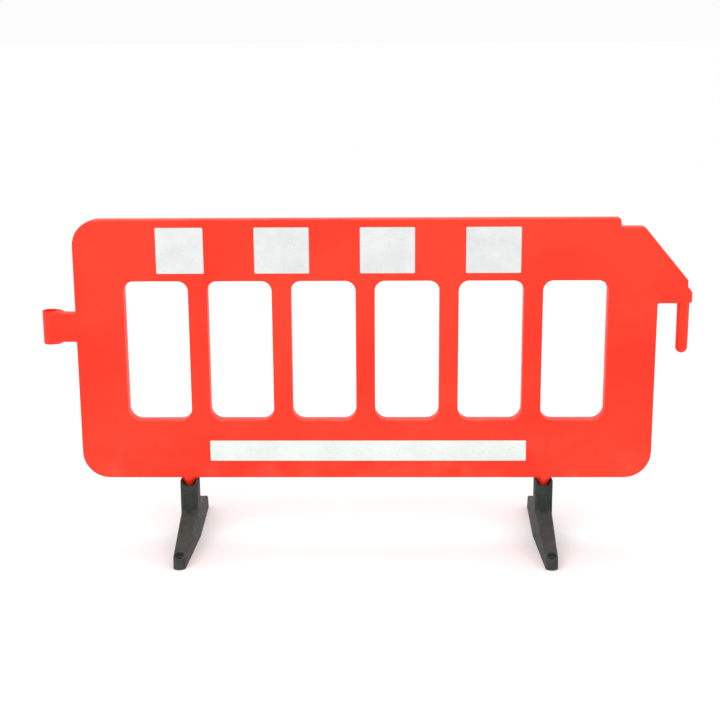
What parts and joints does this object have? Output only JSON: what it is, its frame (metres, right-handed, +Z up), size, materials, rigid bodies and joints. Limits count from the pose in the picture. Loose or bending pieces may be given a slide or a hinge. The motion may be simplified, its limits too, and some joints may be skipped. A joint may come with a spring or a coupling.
{
  "type": "portable traffic barricade",
  "caption": "Hollow plastic barricade panel with windows, reflective sheets, a coupling pin and eye, and swivelling rubber feet.",
  "frame": {"origin": "on the ground, under the middle of the overall length, in the panel's mid plane", "axes": "+X along the panel towards the coupling pin, -Y out of the front face, +Z up"},
  "size_m": [2, 0.584, 1.022],
  "materials": {
    "panel_plastic": "orange-red moulded polyethylene, fine satin grain",
    "pin_plastic": "orange-red moulded polyethylene, satin",
    "reflective_sheet": "white glass-bead reflective sheeting with a clear face",
    "foot_rubber": "black moulded rubber, matt",
    "insert_metal": "turned brass",
    "zinc_steel": "zinc-plated steel, satin"
  },
  "bodies": {
    "panel_body": {"panel": "panel_plastic", "coupling_pin": "pin_plastic", "front_sheet_1": "reflective_sheet", "front_sheet_2": "reflective_sheet", "front_sheet_3": "reflective_sheet", "front_sheet_4": "reflective_sheet", "front_strip": "reflective_sheet", "back_sheet_1": "reflective_sheet", "back_sheet_2": "reflective_sheet", "back_sheet_3": "reflective_sheet", "back_sheet_4": "reflective_sheet", "back_strip": "reflective_sheet", "left_insert": "insert_metal", "left_sleeve": "zinc_steel", "left_washer": "zinc_steel", "left_bolt": "zinc_steel", "right_insert": "insert_metal", "right_sleeve": "zinc_steel", "right_washer": "zinc_steel", "right_bolt": "zinc_steel"},
    "left_foot_body": {"left_foot": "foot_rubber"},
    "right_foot_body": {"right_foot": "foot_rubber"}
  },
  "joints": [
    {"name": "left_foot_swivel", "type": "hinge", "parent": "panel_body", "child": "left_foot_body", "pos_m": [-0.561, 0, 0.144], "axis": [0, 0, 1], "range_deg": [-90, 90]},
    {"name": "right_foot_swivel", "type": "hinge", "parent": "panel_body", "child": "right_foot_body", "pos_m": [0.559, 0, 0.144], "axis": [0, 0, 1], "range_deg": [-90, 90]}
  ]
}
